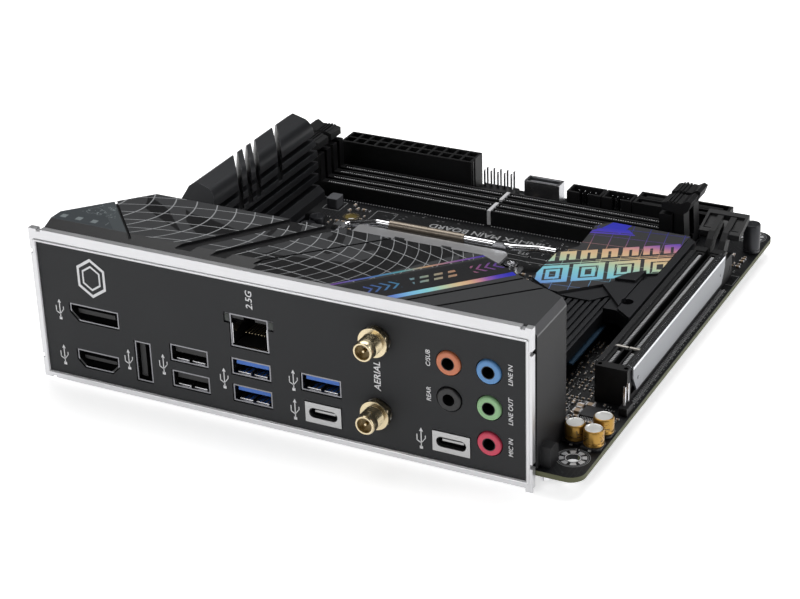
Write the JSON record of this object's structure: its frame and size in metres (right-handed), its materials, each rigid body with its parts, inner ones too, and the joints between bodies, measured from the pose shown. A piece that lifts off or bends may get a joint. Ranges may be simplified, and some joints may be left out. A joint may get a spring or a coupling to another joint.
{
  "type": "motherboard",
  "caption": "Mini-ITX computer motherboard with a shrouded rear port panel, finned heatsinks, processor socket, memory slots and a shielded graphics slot.",
  "frame": {"origin": "centre of the board's top face", "axes": "+X along the rear port panel towards the graphics slot, +Y from the rear panel to the memory slots, +Z out of the component side"},
  "size_m": [0.1745, 0.1806, 0.0507],
  "materials": {
    "pcb": "satin black solder mask",
    "plate_black": "fine textured powder coat",
    "rim_steel": "bright nickel plate",
    "shroud": "satin moulded plastic with printed lines",
    "heatsink": "black anodised, fine blasted",
    "panel_print": "anodised plate with a colour-shift print",
    "black_plastic": "moulded, matt",
    "steel": "bright steel",
    "nickel": "nickel plated",
    "gold": "gilt",
    "blue_tongue": "moulded blue",
    "jack_orange": "moulded",
    "jack_black": "moulded",
    "jack_blue": "moulded",
    "jack_green": "moulded",
    "jack_red": "moulded",
    "sleeve": "heat-shrunk tube",
    "thermal_pad": "soft pad",
    "choke": "pressed ferrite",
    "chip": "moulded epoxy",
    "capacitor_gold": "gold sleeve with a bright top",
    "capacitor_black": "black can",
    "contact_gold": "gilt contacts",
    "cell": "steel can"
  },
  "bodies": {
    "board": {"antenna_sockets": "gold", "atx_power_connector": "black_plastic", "audio_jack_block": "black_plastic", "black_capacitors": "capacitor_black", "board_chips": "chip", "boxed_headers": "black_plastic", "chipset": "chip", "circuit_board": "pcb", "coin_cell": "cell", "cpu_power_connector": "black_plastic", "cpu_socket": "black_plastic", "dimm_contacts": "contact_gold", "dimm_key_clips": "steel", "dimm_slot_far": "black_plastic", "dimm_slot_near": "black_plastic", "display_socket": "steel", "fan_headers": "black_plastic", "front_usb_header": "steel", "gold_capacitors": "capacitor_gold", "header_pins": "contact_gold", "io_cover": "shroud", "io_plate": "plate_black", "io_plate_rim": "rim_steel", "jack_ring_black": "jack_black", "jack_ring_blue": "jack_blue", "jack_ring_green": "jack_green", "jack_ring_orange": "jack_orange", "jack_ring_red": "jack_red", "lan_usb_stack": "steel", "m2_connector": "black_plastic", "m2_heatsink": "heatsink", "m2_panel": "panel_print", "pcie_contacts": "contact_gold", "pcie_shield": "steel", "pcie_slot": "black_plastic", "pin_bases": "black_plastic", "power_chokes": "choke", "power_pins": "contact_gold", "sata_connectors": "black_plastic", "small_screws": "nickel", "socket_backplate": "steel", "socket_contacts": "contact_gold", "socket_frame": "steel", "socket_screws": "nickel", "thermal_pads": "thermal_pad", "usb2_sockets": "steel", "usb_blue_tongues": "blue_tongue", "usb_c_sockets": "nickel", "usb_c_stack": "steel", "video_socket": "steel", "vrm_heatsink": "heatsink", "wireless_module": "steel"},
    "lever": {"load_lever": "nickel", "lever_sleeve": "sleeve"},
    "socket_cover": {"load_plate": "steel"},
    "latch_near_left": {"dimm_latch_near_left": "black_plastic"},
    "latch_near_right": {"dimm_latch_near_right": "black_plastic"},
    "latch_far_left": {"dimm_latch_far_left": "black_plastic"},
    "latch_far_right": {"dimm_latch_far_right": "black_plastic"},
    "slot_latch": {"pcie_latch": "black_plastic"}
  },
  "joints": [
    {"name": "lever_swing", "type": "hinge", "parent": "board", "child": "lever", "pos_m": [-0.0473, 0.0031, 0.0034], "axis": [0, -1, 0], "range_deg": [0, 105]},
    {"name": "socket_cover_swing", "type": "hinge", "parent": "board", "child": "socket_cover", "pos_m": [-0.0438, 0.0031, 0.0046], "axis": [0, -1, 0], "range_deg": [0, 96]},
    {"name": "latch_near_left_tilt", "type": "hinge", "parent": "board", "child": "latch_near_left", "pos_m": [-0.0767, 0.05795, 0.003], "axis": [0, -1, 0], "range_deg": [0, 15]},
    {"name": "latch_near_right_tilt", "type": "hinge", "parent": "board", "child": "latch_near_right", "pos_m": [0.0618, 0.05795, 0.003], "axis": [0, 1, 0], "range_deg": [0, 12]},
    {"name": "latch_far_left_tilt", "type": "hinge", "parent": "board", "child": "latch_far_left", "pos_m": [-0.0767, 0.06725, 0.003], "axis": [0, -1, 0], "range_deg": [0, 15]},
    {"name": "latch_far_right_tilt", "type": "hinge", "parent": "board", "child": "latch_far_right", "pos_m": [0.0618, 0.06725, 0.003], "axis": [0, 1, 0], "range_deg": [0, 15]},
    {"name": "slot_latch_tilt", "type": "hinge", "parent": "board", "child": "slot_latch", "pos_m": [0.0772, 0.0462, 0.0042], "axis": [-1, 0, 0], "range_deg": [0, 10]}
  ],
  "couplings": [
    {"joint": "socket_cover_swing", "follows": "lever_swing", "ratio": 0.91429}
  ]
}
